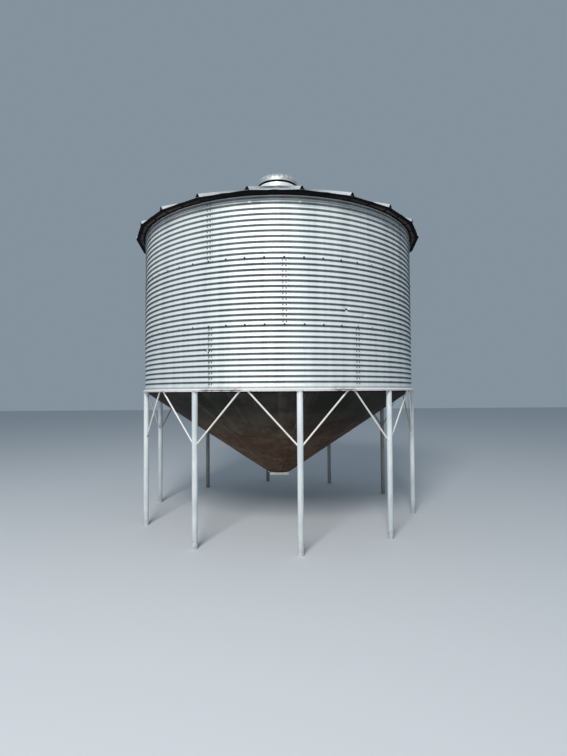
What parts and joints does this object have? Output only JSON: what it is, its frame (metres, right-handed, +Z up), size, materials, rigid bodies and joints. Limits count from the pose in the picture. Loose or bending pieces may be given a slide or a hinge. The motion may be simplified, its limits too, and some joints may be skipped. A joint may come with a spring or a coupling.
{
  "type": "grain silo",
  "caption": "Round hopper-bottom grain silo: corrugated steel wall, ribbed conical roof with a hinged fill lid, cone and slide gate below, on braced pipe legs.",
  "frame": {"origin": "centre of the ring of feet, on the ground", "axes": "+Z up the silo's axis, -Y towards the pictured front, +X to the right of it"},
  "size_m": [4.5762, 4.5406, 5.59],
  "materials": {
    "galvanised_wall": "weathered galvanised corrugated sheet",
    "galvanised_roof": "weathered galvanised flat sheet",
    "galvanised_fill": "bright galvanised sheet",
    "ring_steel": "galvanised with dirt and rust",
    "leg_paint": "chalky light grey paint on pipe",
    "brace_paint": "chalky cream paint on pipe",
    "hopper_steel": "dark brown, rusted and dusty plate",
    "gate_frame": "worn cream paint",
    "gate_plate": "scuffed plate"
  },
  "bodies": {
    "silo": {"leg_01": "leg_paint", "brace_01_left": "brace_paint", "brace_01_right": "brace_paint", "leg_02": "leg_paint", "brace_02_left": "brace_paint", "brace_02_right": "brace_paint", "leg_03": "leg_paint", "brace_03_left": "brace_paint", "brace_03_right": "brace_paint", "leg_04": "leg_paint", "brace_04_left": "brace_paint", "brace_04_right": "brace_paint", "leg_05": "leg_paint", "brace_05_left": "brace_paint", "brace_05_right": "brace_paint", "leg_06": "leg_paint", "brace_06_left": "brace_paint", "brace_06_right": "brace_paint", "leg_07": "leg_paint", "brace_07_left": "brace_paint", "brace_07_right": "brace_paint", "leg_08": "leg_paint", "brace_08_left": "brace_paint", "brace_08_right": "brace_paint", "leg_09": "leg_paint", "brace_09_left": "brace_paint", "brace_09_right": "brace_paint", "leg_10": "leg_paint", "brace_10_left": "brace_paint", "brace_10_right": "brace_paint", "base_ring": "ring_steel", "wall_sheet_lower_1": "galvanised_wall", "wall_sheet_lower_2": "galvanised_wall", "wall_sheet_lower_3": "galvanised_wall", "wall_sheet_lower_4": "galvanised_wall", "wall_sheet_lower_5": "galvanised_wall", "wall_sheet_middle_1": "galvanised_wall", "wall_sheet_middle_2": "galvanised_wall", "wall_sheet_middle_3": "galvanised_wall", "wall_sheet_middle_4": "galvanised_wall", "wall_sheet_middle_5": "galvanised_wall", "wall_sheet_upper_1": "galvanised_wall", "wall_sheet_upper_2": "galvanised_wall", "wall_sheet_upper_3": "galvanised_wall", "wall_sheet_upper_4": "galvanised_wall", "wall_sheet_upper_5": "galvanised_wall", "hopper_cone": "hopper_steel", "discharge_frame": "gate_frame", "roof": "galvanised_roof", "fill_collar": "galvanised_fill"},
    "fill_lid": {"fill_lid": "galvanised_fill"},
    "slide_gate": {"slide_gate": "gate_plate"}
  },
  "joints": [
    {"name": "fill_lid_hinge", "type": "hinge", "parent": "silo", "child": "fill_lid", "pos_m": [0, 0.362, 5.409], "axis": [-1, 0, 0], "range_deg": [0, 95]},
    {"name": "slide_gate_slide", "type": "slide", "parent": "silo", "child": "slide_gate", "axis": [0, 1, 0], "range_m": [0, 0.27]}
  ]
}
